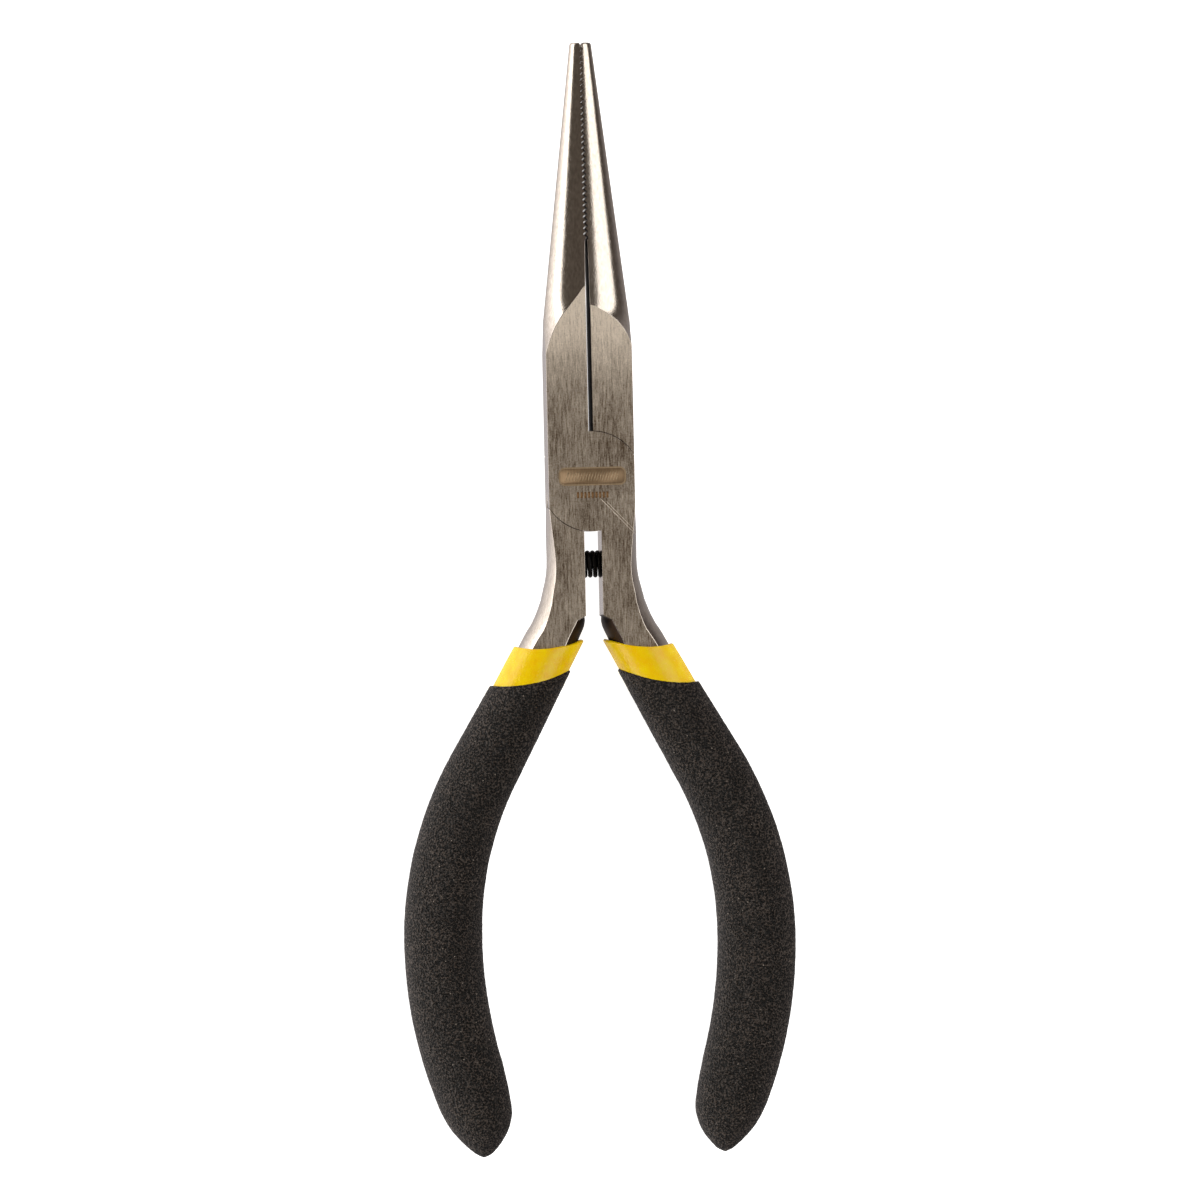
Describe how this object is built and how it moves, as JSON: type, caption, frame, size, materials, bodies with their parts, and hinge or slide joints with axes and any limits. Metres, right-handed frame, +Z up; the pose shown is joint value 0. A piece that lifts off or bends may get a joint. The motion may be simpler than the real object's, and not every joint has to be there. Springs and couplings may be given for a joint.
{
  "type": "needle nose pliers",
  "caption": "Small straight needle nose pliers: two serrated tapering jaws on a flush lap joint, a coil return spring between the handles, and dipped grips with bright collars.",
  "frame": {"origin": "on the pivot axis, in the lower ground face of the joint", "axes": "+Y towards the jaw tips, +Z up through the joint along the pivot axis, +X across the tool towards the handle that carries the upper lap"},
  "size_m": [0.0448, 0.1267, 0.0088],
  "materials": {
    "ground_steel": "brushed",
    "rivet_steel": "brushed",
    "spring_steel": "blackened",
    "yellow_dip": "semi-gloss",
    "black_foam_dip": "fine grained matt"
  },
  "bodies": {
    "left_jaw_lever": {"left_jaw_half": "ground_steel", "right_inner_sleeve": "yellow_dip", "right_grip": "black_foam_dip", "pivot_rivet": "rivet_steel", "return_spring": "spring_steel"},
    "right_jaw_lever": {"right_jaw_half": "ground_steel", "left_inner_sleeve": "yellow_dip", "left_grip": "black_foam_dip"}
  },
  "joints": [
    {"name": "jaw_pivot", "type": "hinge", "parent": "left_jaw_lever", "child": "right_jaw_lever", "pos_m": [0, 0, 0.003], "axis": [0, 0, -1], "range_deg": [0, 35], "stiffness_Nm_per_rad": 0.445, "springref_deg": 28.02, "deforming": ["return_spring"]}
  ]
}
